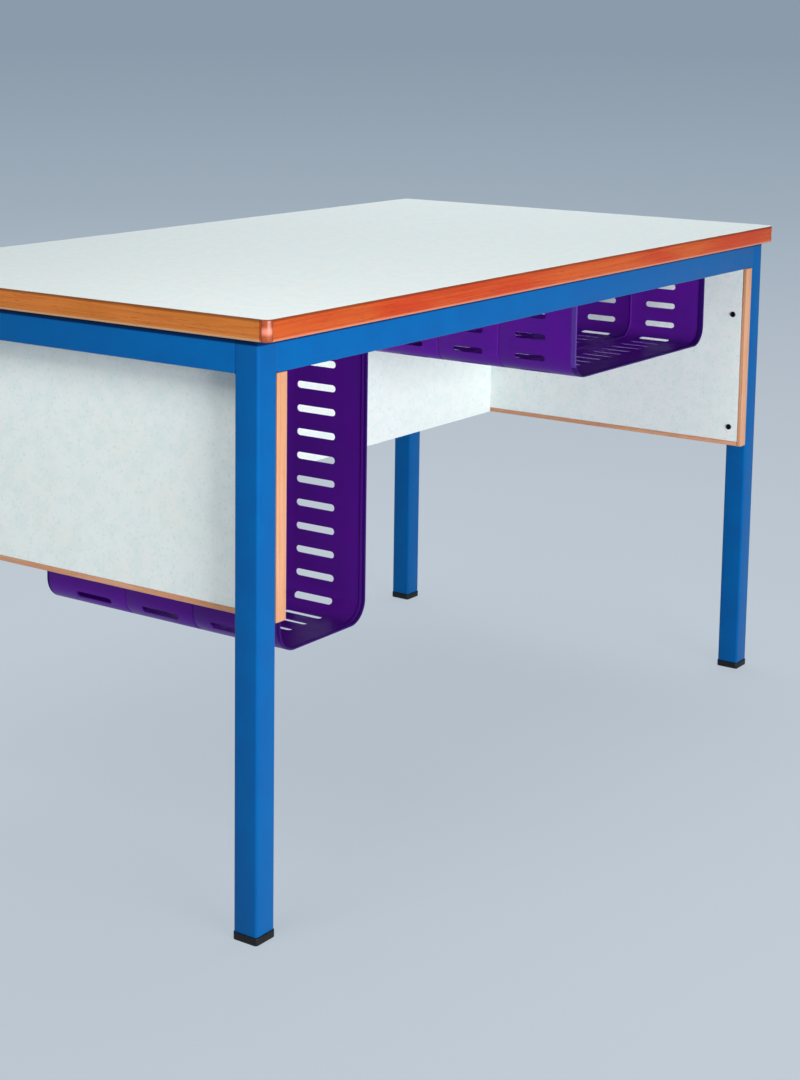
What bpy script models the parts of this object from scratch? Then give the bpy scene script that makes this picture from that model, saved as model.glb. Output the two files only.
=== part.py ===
# Teacher desk: laminate worktop on a square-tube frame, with board panels and two slotted sheet lockers.
# Metres, +Z up. The origin is at the centre of the floor area, +X runs along the desk's length and
# -Y is the user's side.

import math

import bmesh
import bpy
from mathutils import Matrix, Vector

# Worktop
TOP_LENGTH = 1.350
TOP_DEPTH = 0.730
DESK_HEIGHT = 0.750
TOP_THICKNESS = 0.027
TOP_CORNER_RADIUS = 0.010
LAMINATE_THICKNESS = 0.001
LIPPING_WIDTH = 0.012
SIDE_OVERHANG = 0.005
FRONT_OVERHANG = 0.017
BACK_OVERHANG = 0.008

# Gap between two pieces that touch
SEAM = 0.0003

# Frame tubes
LEG_SIDE = 0.035
LEG_WALL = 0.002
LEG_CORNER_RADIUS = 0.0035
RAIL_HEIGHT = 0.040
RAIL_WIDTH = 0.020
RAIL_WALL = 0.0015
RAIL_CORNER_RADIUS = 0.002

# Foot caps
CAP_HEIGHT = 0.010
CAP_LIP = 0.001
CAP_PLUG_LENGTH = 0.020
CAP_PLUG_OVERLAP = 0.002

# Side and modesty panels
BOARD_THICKNESS = 0.019
PANEL_HEIGHT = 0.296
STRIP_WIDTH = 0.007
MODESTY_SETBACK = 0.485

# Sheet of both lockers
SHEET_THICKNESS = 0.0015
BEND_RADIUS = 0.030
HEM_WIDTH = 0.008
BEAD_WIDTH = 0.003
HEM_RAMP = 0.0005
HEM_THICKNESS = 0.0027
FLANGE_WIDTH = 0.020
LOCKER_SETBACK = 0.0005
BACK_PLATE_INSET = 0.012
FLANGE_SCREW_SHARES = (0.2, 0.8)
SLOT_WIDTH = 0.009
SLOT_TOP_MARGIN = 0.050
SLOT_CUT_DEPTH = 0.020

# Tall locker, at the desk's left end
TALL_LEFT_GAP = 0.0142
TALL_WIDTH = 0.1765
TALL_HEIGHT = 0.388
TALL_DEPTH = 0.380
TALL_SLOT_LENGTH = 0.060
TALL_SLOT_START = 0.049
TALL_SLOT_PITCH = 0.0305
TALL_SLOT_COLUMNS = 3

# Shallow locker, under the right half of the worktop
SHALLOW_RIGHT_GAP = 0.1115
SHALLOW_WIDTH = 0.412
SHALLOW_HEIGHT = 0.153
SHALLOW_DEPTH = 0.368
SHALLOW_SLOT_LENGTH = 0.052
SHALLOW_SLOT_START = 0.051
SHALLOW_SLOT_PITCH = 0.0312
SHALLOW_SLOT_COLUMNS = 3

# Screws
SCREW_CLEARANCE = 0.0004
SCREW_PILOT_END = 0.001
PANEL_SCREW_HEAD_RADIUS = 0.0045
PANEL_SCREW_HEAD_HEIGHT = 0.0025
PANEL_SCREW_SHANK_RADIUS = 0.0025
PANEL_SCREW_TAIL = 0.006
PANEL_SCREW_INSET = 0.022
PANEL_SCREW_LOW = 0.031
PANEL_SCREW_HIGH = 0.219
SMALL_SCREW_HEAD_RADIUS = 0.0035
SMALL_SCREW_HEAD_HEIGHT = 0.0022
SMALL_SCREW_SHANK_RADIUS = 0.0018
SMALL_SCREW_LENGTH = 0.014
RAIL_SCREW_GRIP = 0.018
RAIL_SCREW_SHARES = (0.1, 0.9)

# Steel angles behind the modesty panel
ANGLE_LEG = 0.028
ANGLE_THICKNESS = 0.002
ANGLE_HEIGHT = 0.120
ANGLE_SCREW_SPACING = 0.080

# Smoothness of round shapes
BEND_STEPS = 6
CORNER_STEPS = 3
SLOT_END_STEPS = 3
SCREW_STEPS = 8
CUT_OVERRUN = 0.003

# Places that follow from the sizes above
FRAME_X = TOP_LENGTH / 2 - SIDE_OVERHANG
FRAME_Y = (TOP_DEPTH - FRONT_OVERHANG - BACK_OVERHANG) / 2
FRAME_MIDDLE = (FRONT_OVERHANG - BACK_OVERHANG) / 2
FRAME_FRONT = FRAME_MIDDLE - FRAME_Y
UNDERSIDE = DESK_HEIGHT - TOP_THICKNESS
FRAME_TOP = UNDERSIDE - SEAM
PANEL_OUTER_X = FRAME_X - LEG_SIDE - SEAM
PANEL_INNER_X = PANEL_OUTER_X - BOARD_THICKNESS
PANEL_TOP = FRAME_TOP - RAIL_HEIGHT - SEAM
PANEL_BOTTOM = PANEL_TOP - PANEL_HEIGHT
MODESTY_Y = FRAME_FRONT + MODESTY_SETBACK
LOCKER_FRONT = FRAME_FRONT + RAIL_WIDTH + LOCKER_SETBACK
TALL_LEFT = -PANEL_INNER_X + TALL_LEFT_GAP
SHALLOW_RIGHT = PANEL_INNER_X - SHALLOW_RIGHT_GAP
HEM_TOP = FRAME_TOP - HEM_WIDTH
PANEL_SCREW_LENGTH = 2 * SEAM + BOARD_THICKNESS + LEG_WALL + PANEL_SCREW_TAIL


def make_collection(name):
    group = bpy.data.collections.new(name)
    bpy.context.scene.collection.children.link(group)
    return group


def clear_scene():
    for item in list(bpy.data.objects):
        bpy.data.objects.remove(item, do_unlink=True)


clear_scene()
PARTS = make_collection("teacher_desk")
CUTTERS = make_collection("cutters")


def paint(name, colour, roughness, metallic=0.0):
    """A plain Principled material."""
    made = bpy.data.materials.new(name)
    made.use_nodes = True
    shader = made.node_tree.nodes["Principled BSDF"]
    shader.inputs["Base Color"].default_value = (*colour, 1.0)
    shader.inputs["Roughness"].default_value = roughness
    shader.inputs["Metallic"].default_value = metallic
    made.diffuse_color = (*colour, 1.0)
    return made


WHITE_LAMINATE = (0.75, 0.78, 0.74)
WHITE_BOARD = (0.78, 0.80, 0.77)
WOOD = (0.62, 0.27, 0.08)
PANEL_WOOD = (0.70, 0.42, 0.22)
BLUE_PAINT = (0.02, 0.16, 0.48)
PURPLE_PAINT = (0.07, 0.01, 0.20)
BLACK_PLASTIC = (0.012, 0.012, 0.014)
BRIGHT_ZINC = (0.62, 0.63, 0.64)


def as_part(thing, colour, roughness, metallic=0.0):
    """Puts an object among the desk's pieces, with a material of its own."""
    PARTS.objects.link(thing)
    thing.data.materials.clear()
    thing.data.materials.append(paint(thing.name, colour, roughness, metallic))
    return thing


def as_cutter(thing):
    CUTTERS.objects.link(thing)
    thing.hide_render = True
    thing.display_type = "WIRE"
    return thing


def arc(centre_x, centre_y, radius, start, end, steps):
    """Points along an arc, angles in degrees."""
    points = []
    for step in range(steps + 1):
        angle = math.radians(start + (end - start) * step / steps)
        points.append((centre_x + radius * math.cos(angle), centre_y + radius * math.sin(angle)))
    return points


def rounded_rectangle(width, height, radius):
    """A rectangle about the origin with round corners, anticlockwise."""
    x, y = width / 2 - radius, height / 2 - radius
    points = []
    for sign_x, sign_y, start in ((1, 1, 0), (-1, 1, 90), (-1, -1, 180), (1, -1, 270)):
        points += arc(sign_x * x, sign_y * y, radius, start, start + 90, CORNER_STEPS)
    return points


def slot_outline(length, width):
    """A slot with round ends, long in y."""
    y, radius = length / 2 - width / 2, width / 2
    return arc(0, y, radius, 0, 180, SLOT_END_STEPS) + arc(0, -y, radius, 180, 360, SLOT_END_STEPS)


def extruded(name, outlines, thickness):
    """A flat solid about z = 0 from closed outlines, where an outline inside another is a hole."""
    curve = bpy.data.curves.new(name, "CURVE")
    curve.dimensions = "2D"
    curve.fill_mode = "BOTH"
    curve.extrude = thickness / 2
    for outline in outlines:
        spline = curve.splines.new("POLY")
        spline.points.add(len(outline) - 1)
        for point, (x, y) in zip(spline.points, outline):
            point.co = (x, y, 0, 1)
        spline.use_cyclic_u = True
    holder = bpy.data.objects.new(name, curve)
    bpy.context.scene.collection.objects.link(holder)
    graph = bpy.context.evaluated_depsgraph_get()
    mesh = bpy.data.meshes.new_from_object(holder.evaluated_get(graph))
    bpy.data.objects.remove(holder)
    bpy.data.curves.remove(curve)
    work = bmesh.new()
    work.from_mesh(mesh)
    bmesh.ops.remove_doubles(work, verts=work.verts, dist=SEAM / 10)
    work.to_mesh(mesh)
    work.free()
    mesh.name = name
    return bpy.data.objects.new(name, mesh)


def block(name, low, high):
    """A box between two corners."""
    low, high = Vector(low), Vector(high)
    work = bmesh.new()
    bmesh.ops.create_cube(work, size=1.0)
    bmesh.ops.scale(work, vec=high - low, verts=work.verts)
    mesh = bpy.data.meshes.new(name)
    work.to_mesh(mesh)
    work.free()
    thing = bpy.data.objects.new(name, mesh)
    thing.location = (low + high) / 2
    return thing


def add_boolean(thing, tool, operation):
    cut = thing.modifiers.new(operation.lower() + "_" + tool.name, "BOOLEAN")
    cut.operation = operation
    cut.object = tool
    cut.solver = "EXACT"


def pointing(place, direction):
    """The matrix that puts a shape's +Z along a direction at a place."""
    turn = Vector(direction).to_track_quat("Z", "Y").to_matrix().to_4x4()
    return Matrix.Translation(place) @ turn


def drill(thing, name, radius, depth, places, direction):
    """Cuts round holes: each starts at its place and runs a depth along the direction."""
    work = bmesh.new()
    bmesh.ops.create_cone(
        work, cap_ends=True, segments=SCREW_STEPS, radius1=radius, radius2=radius,
        depth=depth + CUT_OVERRUN,
    )
    lift = Matrix.Translation((0, 0, (depth - CUT_OVERRUN) / 2))
    bmesh.ops.transform(work, matrix=lift, verts=work.verts)
    pattern = bpy.data.meshes.new(name)
    work.to_mesh(pattern)
    work.free()
    cut_copies(thing, name, pattern, [pointing(place, direction) for place in places])


def cut_copies(thing, name, pattern, matrices):
    """Cuts a copy of the pattern at each matrix, all of them as one cutter."""
    work = bmesh.new()
    for matrix in matrices:
        first = len(work.verts)
        work.from_mesh(pattern)
        work.verts.ensure_lookup_table()
        bmesh.ops.transform(work, matrix=matrix, verts=work.verts[first:])
    mesh = bpy.data.meshes.new(name)
    work.to_mesh(mesh)
    work.free()
    add_boolean(thing, as_cutter(bpy.data.objects.new(name, mesh)), "DIFFERENCE")


def screw_mesh(name, head_radius, head_height, shank_radius, length, material):
    """A pan-head screw along +Z: the head is below z = 0 and the shank above it."""
    half_head = head_height / 2
    profile = (
        (0, length), (shank_radius, length - shank_radius), (shank_radius, 0), (head_radius, 0),
        (head_radius, -half_head), (head_radius - half_head, -head_height), (0, -head_height),
    )
    mesh = bpy.data.meshes.new(name)
    points = [(x, 0, z) for x, z in profile]
    mesh.from_pydata(points, [(i, i + 1) for i in range(len(points) - 1)], [])
    holder = bpy.data.objects.new(name, mesh)
    bpy.context.scene.collection.objects.link(holder)
    turn = holder.modifiers.new("turn", "SCREW")
    turn.steps = SCREW_STEPS
    turn.render_steps = SCREW_STEPS
    turn.use_merge_vertices = True
    turn.merge_threshold = SEAM / 10
    graph = bpy.context.evaluated_depsgraph_get()
    turned = bpy.data.meshes.new_from_object(holder.evaluated_get(graph))
    bpy.data.objects.remove(holder)
    turned.materials.append(material)
    return turned


def small_screw_mesh(name, length):
    zinc = paint(name, BRIGHT_ZINC, 0.35, 1.0)
    head = (SMALL_SCREW_HEAD_RADIUS, SMALL_SCREW_HEAD_HEIGHT)
    return screw_mesh(name, *head, SMALL_SCREW_SHANK_RADIUS, length, zinc)


def add_screw(name, mesh, place, direction):
    screw = bpy.data.objects.new(name, mesh)
    screw.rotation_euler = Vector(direction).to_track_quat("Z", "Y").to_euler()
    screw.location = place
    PARTS.objects.link(screw)


def add_worktop():
    """Board core, a laminate on top that covers the lipping, and four wood strips."""
    core_x, core_y = TOP_LENGTH / 2 - LIPPING_WIDTH, TOP_DEPTH / 2 - LIPPING_WIDTH
    lipping_top = DESK_HEIGHT - LAMINATE_THICKNESS - SEAM

    outline = rounded_rectangle(TOP_LENGTH, TOP_DEPTH, TOP_CORNER_RADIUS)
    laminate = extruded("worktop_laminate", [outline], LAMINATE_THICKNESS)
    laminate.location.z = DESK_HEIGHT - LAMINATE_THICKNESS / 2
    as_part(laminate, WHITE_LAMINATE, 0.35)

    inner_x, inner_y = core_x - SEAM, core_y - SEAM
    core = block("worktop_core", (-inner_x, -inner_y, UNDERSIDE), (inner_x, inner_y, lipping_top))
    as_part(core, WHITE_BOARD, 0.6)

    height = lipping_top - UNDERSIDE
    straight = TOP_LENGTH / 2 - TOP_CORNER_RADIUS
    inner_edge = TOP_CORNER_RADIUS - LIPPING_WIDTH
    outline = arc(straight, 0, TOP_CORNER_RADIUS, 0, 90, CORNER_STEPS)
    outline += arc(-straight, 0, TOP_CORNER_RADIUS, 90, 180, CORNER_STEPS)
    outline += [(-TOP_LENGTH / 2, inner_edge), (TOP_LENGTH / 2, inner_edge)]
    for side, name in ((-1, "lipping_front"), (1, "lipping_back")):
        strip = extruded(name, [outline], height)
        strip.location = (0, side * (TOP_DEPTH / 2 - TOP_CORNER_RADIUS), UNDERSIDE + height / 2)
        if side < 0:
            strip.rotation_euler.z = math.pi
        as_part(strip, WOOD, 0.45)
    for side, name in ((-1, "lipping_left"), (1, "lipping_right")):
        near, far = sorted((side * core_x, side * TOP_LENGTH / 2))
        strip = block(name, (near, -inner_y, UNDERSIDE), (far, inner_y, lipping_top))
        as_part(strip, WOOD, 0.45)
    return core


def tube(name, width, height, wall, corner_radius, length):
    """A rectangular tube along Z."""
    bore = (width - 2 * wall, height - 2 * wall, corner_radius - wall)
    section = [rounded_rectangle(width, height, corner_radius), rounded_rectangle(*bore)]
    return as_part(extruded(name, section, length), BLUE_PAINT, 0.35)


def add_foot_cap(name, x, y):
    """A plastic cap a little wider than the leg, with a plug that fills the tube's bore."""
    cap_side = LEG_SIDE + 2 * CAP_LIP
    cap = extruded(name, [rounded_rectangle(cap_side, cap_side, LEG_CORNER_RADIUS + CAP_LIP)], CAP_HEIGHT)
    cap.location = (x, y, CAP_HEIGHT / 2)
    plug_side = LEG_SIDE - 2 * LEG_WALL - 2 * SEAM
    plug_height = CAP_PLUG_LENGTH + CAP_PLUG_OVERLAP
    radius = LEG_CORNER_RADIUS - LEG_WALL
    plug = extruded(name + "_plug", [rounded_rectangle(plug_side, plug_side, radius)], plug_height)
    plug.location = (x, y, CAP_HEIGHT - CAP_PLUG_OVERLAP + plug_height / 2)
    add_boolean(cap, as_cutter(plug), "UNION")
    as_part(cap, BLACK_PLASTIC, 0.55)


def add_legs():
    """Four square tubes with their foot caps."""
    low = CAP_HEIGHT + SEAM
    height = FRAME_TOP - low
    legs = {}
    for x, end in ((-1, "left"), (1, "right")):
        for y, face in ((-1, "front"), (1, "back")):
            leg = tube("leg_%s_%s" % (face, end), LEG_SIDE, LEG_SIDE, LEG_WALL, LEG_CORNER_RADIUS, height)
            centre = (x * (FRAME_X - LEG_SIDE / 2), FRAME_MIDDLE + y * (FRAME_Y - LEG_SIDE / 2))
            leg.location = (*centre, low + height / 2)
            legs[x, y] = leg
            add_foot_cap("foot_cap_%s_%s" % (face, end), *centre)
    return legs


def add_rails(core):
    """Four rails between the legs, flush with their outer faces, and screws up into the worktop."""
    z = FRAME_TOP - RAIL_HEIGHT / 2
    long_rail = 2 * (FRAME_X - LEG_SIDE - SEAM)
    short_rail = 2 * (FRAME_Y - LEG_SIDE - SEAM)
    for side, name in ((-1, "rail_left"), (1, "rail_right")):
        rail = tube(name, RAIL_WIDTH, RAIL_HEIGHT, RAIL_WALL, RAIL_CORNER_RADIUS, short_rail)
        rail.rotation_euler.x = math.pi / 2
        rail.location = (side * (FRAME_X - RAIL_WIDTH / 2), FRAME_MIDDLE, z)
    screw_low = FRAME_TOP - RAIL_HEIGHT - SEAM
    screw_length = UNDERSIDE + RAIL_SCREW_GRIP - screw_low
    pattern = small_screw_mesh("rail_screw", screw_length)
    for side, face in ((-1, "front"), (1, "back")):
        rail = tube("rail_" + face, RAIL_HEIGHT, RAIL_WIDTH, RAIL_WALL, RAIL_CORNER_RADIUS, long_rail)
        rail.rotation_euler.y = math.pi / 2
        y = FRAME_MIDDLE + side * (FRAME_Y - RAIL_WIDTH / 2)
        rail.location = (0, y, z)
        places = [((share - 1 / 2) * long_rail, y, screw_low) for share in RAIL_SCREW_SHARES]
        for thing, tag in ((rail, "rail_hole_"), (core, "rail_pilot_")):
            radius = SMALL_SCREW_SHANK_RADIUS + SCREW_CLEARANCE
            drill(thing, tag + face, radius, screw_length + SCREW_PILOT_END, places, (0, 0, 1))
        for end, place in zip(("left", "right"), places):
            add_screw("rail_screw_%s_%s" % (face, end), pattern, place, (0, 0, 1))


def add_side_panel(side, end, legs, pattern):
    """A board on the legs' inner faces with wood strips on its front, back and bottom edges."""
    inner, outer = sorted((side * PANEL_INNER_X, side * PANEL_OUTER_X))
    strip_edge = FRAME_Y - STRIP_WIDTH
    board_edge = strip_edge - SEAM
    board_front, board_back = FRAME_MIDDLE - board_edge, FRAME_MIDDLE + board_edge
    board_low = PANEL_BOTTOM + STRIP_WIDTH + SEAM
    name = "side_panel_" + end
    board = block(name, (inner, board_front, board_low), (outer, board_back, PANEL_TOP))
    as_part(board, WHITE_BOARD, 0.5)
    for y, face in ((-1, "front"), (1, "back")):
        near, far = sorted((FRAME_MIDDLE + y * strip_edge, FRAME_MIDDLE + y * FRAME_Y))
        low, high = (inner, near, PANEL_BOTTOM), (outer, far, PANEL_TOP)
        as_part(block("%s_strip_%s" % (name, face), low, high), PANEL_WOOD, 0.5)
    low = (inner, board_front, PANEL_BOTTOM)
    high = (outer, board_back, PANEL_BOTTOM + STRIP_WIDTH)
    as_part(block(name + "_strip_bottom", low, high), PANEL_WOOD, 0.5)

    radius = PANEL_SCREW_SHANK_RADIUS + SCREW_CLEARANCE
    head_x = side * (PANEL_INNER_X - SEAM)
    for y, face in ((-1, "front"), (1, "back")):
        heights = (PANEL_BOTTOM + PANEL_SCREW_LOW, PANEL_BOTTOM + PANEL_SCREW_HIGH)
        screw_y = FRAME_MIDDLE + y * (FRAME_Y - PANEL_SCREW_INSET)
        places = [(head_x, screw_y, z) for z in heights]
        tag = "%s_%s" % (face, end)
        for thing, hole in ((board, "panel_hole_"), (legs[side, y], "leg_hole_")):
            drill(thing, hole + tag, radius, PANEL_SCREW_LENGTH, places, (side, 0, 0))
        for height, place in zip(("low", "high"), places):
            add_screw("panel_screw_%s_%s" % (tag, height), pattern, place, (side, 0, 0))
    return board


def add_side_panels(legs):
    black = paint("panel_screw", BLACK_PLASTIC, 0.4, 0.6)
    head = (PANEL_SCREW_HEAD_RADIUS, PANEL_SCREW_HEAD_HEIGHT)
    pattern = screw_mesh("panel_screw", *head, PANEL_SCREW_SHANK_RADIUS, PANEL_SCREW_LENGTH, black)
    return [add_side_panel(side, end, legs, pattern) for side, end in ((-1, "left"), (1, "right"))]


def add_modesty_panel(boards, pattern):
    """The white panel across the desk, and an angle with four screws behind each end of it."""
    reach = PANEL_INNER_X - SEAM
    back = MODESTY_Y + BOARD_THICKNESS
    panel = block("modesty_panel", (-reach, MODESTY_Y, PANEL_BOTTOM), (reach, back, FRAME_TOP))
    as_part(panel, WHITE_BOARD, 0.5)

    leg, wall = ANGLE_LEG, ANGLE_THICKNESS
    outline = [(0, 0), (leg, 0), (leg, wall), (wall, wall), (wall, leg), (0, leg)]
    centre_z = (PANEL_BOTTOM + FRAME_TOP) / 2
    heights = (centre_z - ANGLE_SCREW_SPACING / 2, centre_z + ANGLE_SCREW_SPACING / 2)
    middle = (leg + wall) / 2
    for side, end, board in ((-1, "left", boards[0]), (1, "right", boards[1])):
        angle = extruded("modesty_angle_" + end, [outline], ANGLE_HEIGHT)
        corner_x, corner_y = side * (reach - SEAM), back + SEAM
        angle.location = (corner_x, corner_y, centre_z)
        angle.rotation_euler.z = math.pi / 2 if side > 0 else 0
        as_part(angle, BRIGHT_ZINC, 0.4, 1.0)
        to_panel = [(corner_x - side * middle, corner_y + wall + SEAM, z) for z in heights]
        to_board = [(corner_x - side * (wall + SEAM), corner_y + middle, z) for z in heights]
        for tag, thing, places, direction in (
            ("panel", panel, to_panel, (0, -1, 0)),
            ("board", board, to_board, (side, 0, 0)),
        ):
            radius = SMALL_SCREW_SHANK_RADIUS + SCREW_CLEARANCE
            depth = SMALL_SCREW_LENGTH + SCREW_PILOT_END
            drill(thing, "angle_pilot_%s_%s" % (tag, end), radius, depth, places, direction)
            drill(angle, "angle_hole_%s_%s" % (tag, end), radius, depth, places, direction)
            for height, place in zip(("low", "high"), places):
                add_screw("angle_screw_%s_%s_%s" % (tag, end, height), pattern, place, direction)


def locker_path(left, right, bottom, inward_left):
    """The outer line of a locker's sheet in x and z, with a flange at the top of each wall."""
    low_top = FRAME_TOP - SHEET_THICKNESS
    if inward_left:
        path = [(left + FLANGE_WIDTH, FRAME_TOP), (left, FRAME_TOP)]
    else:
        path = [(left - FLANGE_WIDTH, low_top), (left, low_top)]
    path.append((left, HEM_TOP))
    path += arc(left + BEND_RADIUS, bottom + BEND_RADIUS, BEND_RADIUS, 180, 270, BEND_STEPS)
    path += arc(right - BEND_RADIUS, bottom + BEND_RADIUS, BEND_RADIUS, 270, 360, BEND_STEPS)
    path += [(right, HEM_TOP), (right, low_top), (right + FLANGE_WIDTH, low_top)]
    return path


def sheet_rings(depth, beads):
    """Distances from the sheet's front where its thickness changes, each with True where it is thick."""
    half = BEAD_WIDTH / 2
    rings = [(0, True), (HEM_WIDTH, True), (HEM_WIDTH + HEM_RAMP, False)]
    for bead in beads:
        rings += [(bead - half - HEM_RAMP, False), (bead - half, True)]
        rings += [(bead + half, True), (bead + half + HEM_RAMP, False)]
    rings += [(depth - HEM_WIDTH - HEM_RAMP, False), (depth - HEM_WIDTH, True), (depth, True)]
    return rings


def folded_sheet(name, path, front, rings):
    """A sheet inside a path in x and z, run back in y, thicker at its end hems and pressed beads."""
    work = bmesh.new()
    points = [work.verts.new((x, front, z)) for x, z in path]
    edges = [work.edges.new(pair) for pair in zip(points[:-1], points[1:])]
    for (near, _), (far, _) in zip(rings[:-1], rings[1:]):
        grown = bmesh.ops.extrude_edge_only(work, edges=edges)["geom"]
        moved = [item for item in grown if isinstance(item, bmesh.types.BMVert)]
        edges = [item for item in grown if isinstance(item, bmesh.types.BMEdge)]
        bmesh.ops.translate(work, vec=(0, far - near, 0), verts=moved)
    mesh = bpy.data.meshes.new(name)
    work.to_mesh(mesh)
    work.free()
    sheet = bpy.data.objects.new(name, mesh)
    thick_rings = [front + place for place, thick in rings if thick]
    thick_points = []
    for vertex in mesh.vertices:
        on_ring = any(abs(vertex.co.y - place) < HEM_RAMP / 2 for place in thick_rings)
        if on_ring and vertex.co.z < HEM_TOP + HEM_RAMP:
            thick_points.append(vertex.index)
    sheet.vertex_groups.new(name="thick").add(thick_points, 1, "REPLACE")
    shell = sheet.modifiers.new("thickness", "SOLIDIFY")
    shell.thickness = HEM_THICKNESS
    shell.vertex_group = "thick"
    shell.thickness_vertex_group = SHEET_THICKNESS / HEM_THICKNESS
    shell.offset = -1
    shell.use_even_offset = True
    return sheet


def along_profile(distance, centre, width, bottom):
    """Where a distance from the bottom's middle lies on the sheet, and how far it leans there."""
    sign = 1 if distance >= 0 else -1
    reach = abs(distance)
    flat = width / 2 - BEND_RADIUS
    bend = BEND_RADIUS * math.pi / 2
    if reach <= flat:
        x, z, lean = reach, bottom, 0.0
    elif reach <= flat + bend:
        lean = (reach - flat) / BEND_RADIUS
        x = flat + BEND_RADIUS * math.sin(lean)
        z = bottom + BEND_RADIUS * (1 - math.cos(lean))
    else:
        lean = math.pi / 2
        x, z = width / 2, bottom + BEND_RADIUS + reach - flat - bend
    return centre + sign * x, z, -sign * lean


def slot_places(centre, width, bottom, columns, pitch):
    """A matrix for each slot: rows at an even pitch round the sheet, in each column."""
    reach = (width - 2 * BEND_RADIUS + BEND_RADIUS * math.pi) / 2 + FRAME_TOP - bottom - BEND_RADIUS
    count = int((reach - SLOT_TOP_MARGIN) / pitch)
    distances = [row * pitch for row in range(count + 1)]
    distances += [-distance for distance in distances if distance > 0]
    matrices = []
    for distance in distances:
        x, z, lean = along_profile(distance, centre, width, bottom)
        turn = Matrix.Rotation(lean, 4, "Y")
        matrices += [Matrix.Translation((x, y, z)) @ turn for y in columns]
    return matrices


def add_locker(name, left, width, height, depth, slots, inward_left):
    """A slotted U of sheet with folded hems at both ends, and a plate that closes its back."""
    right, front, bottom = left + width, LOCKER_FRONT, FRAME_TOP - height
    length, start, count, pitch = slots
    step = (depth - 2 * start - length) / (count - 1)
    middles = [start + length / 2 + column * step for column in range(count)]
    beads = [middle + step / 2 for middle in middles[:-1]]
    path = locker_path(left, right, bottom, inward_left)
    sheet = folded_sheet(name, path, front, sheet_rings(depth, beads))
    pattern = extruded(name + "_slot_pattern", [slot_outline(length, SLOT_WIDTH)], SLOT_CUT_DEPTH)
    columns = [front + middle for middle in middles]
    matrices = slot_places(left + width / 2, width, bottom, columns, pitch)
    cut_copies(sheet, name + "_slots", pattern.data, matrices)
    bpy.data.objects.remove(pattern)
    as_part(sheet, PURPLE_PAINT, 0.35)
    add_back_plate(name + "_back", left, right, bottom, front + depth)
    return sheet


def add_back_plate(name, left, right, bottom, back):
    """A flat plate inside the sheet, with corners that follow its bends."""
    gap = SHEET_THICKNESS + SEAM
    radius = BEND_RADIUS - gap
    half = (right - left) / 2 - gap
    outline = [(half, FRAME_TOP - bottom - 2 * gap), (-half, FRAME_TOP - bottom - 2 * gap)]
    outline += arc(-half + radius, radius, radius, 180, 270, BEND_STEPS)
    outline += arc(half - radius, radius, radius, 270, 360, BEND_STEPS)
    plate = extruded(name, [outline], SHEET_THICKNESS)
    plate.rotation_euler.x = math.pi / 2
    plate.location = ((left + right) / 2, back - BACK_PLATE_INSET, bottom + gap)
    as_part(plate, PURPLE_PAINT, 0.35)


def add_locker_screws(name, sheet, core, depth, columns, pattern):
    """Screws up through the flanges into the worktop: each column has its x and its shares of the depth."""
    z = FRAME_TOP - SHEET_THICKNESS - SEAM
    places = [(x, LOCKER_FRONT + share * depth, z) for x, shares in columns for share in shares]
    radius = SMALL_SCREW_SHANK_RADIUS + SCREW_CLEARANCE
    for tag, thing in (("hole", sheet), ("pilot", core)):
        depth_cut = SMALL_SCREW_LENGTH + SCREW_PILOT_END
        drill(thing, "%s_%s" % (name, tag), radius, depth_cut, places, (0, 0, 1))
    for number, place in enumerate(places, 1):
        add_screw("%s_%d" % (name, number), pattern, place, (0, 0, 1))


def add_lockers(core, pattern):
    half_flange = FLANGE_WIDTH / 2
    slots = (TALL_SLOT_LENGTH, TALL_SLOT_START, TALL_SLOT_COLUMNS, TALL_SLOT_PITCH)
    sheet = add_locker(
        "tall_locker", TALL_LEFT, TALL_WIDTH, TALL_HEIGHT, TALL_DEPTH, slots, inward_left=True
    )
    columns = (
        (TALL_LEFT + half_flange, (1 / 2,)),
        (TALL_LEFT + TALL_WIDTH + half_flange, FLANGE_SCREW_SHARES),
    )
    add_locker_screws("tall_locker_screw", sheet, core, TALL_DEPTH, columns, pattern)

    left = SHALLOW_RIGHT - SHALLOW_WIDTH
    slots = (SHALLOW_SLOT_LENGTH, SHALLOW_SLOT_START, SHALLOW_SLOT_COLUMNS, SHALLOW_SLOT_PITCH)
    sheet = add_locker(
        "shallow_locker", left, SHALLOW_WIDTH, SHALLOW_HEIGHT, SHALLOW_DEPTH, slots, inward_left=False
    )
    columns = (
        (left - half_flange, FLANGE_SCREW_SHARES),
        (SHALLOW_RIGHT + half_flange, FLANGE_SCREW_SHARES),
    )
    add_locker_screws("shallow_locker_screw", sheet, core, SHALLOW_DEPTH, columns, pattern)


def build_desk():
    core = add_worktop()
    legs = add_legs()
    add_rails(core)
    boards = add_side_panels(legs)
    pattern = small_screw_mesh("small_screw", SMALL_SCREW_LENGTH)
    add_modesty_panel(boards, pattern)
    add_lockers(core, pattern)


build_desk()
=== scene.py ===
# Looks for the teacher desk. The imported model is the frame, and each piece here stands where its node stands,
# in metres: +X runs along the desk and -Y is the user's side.

import math

import bmesh
import bpy
from mathutils import Matrix, Vector
from mathutils.geometry import delaunay_2d_cdt


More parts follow.
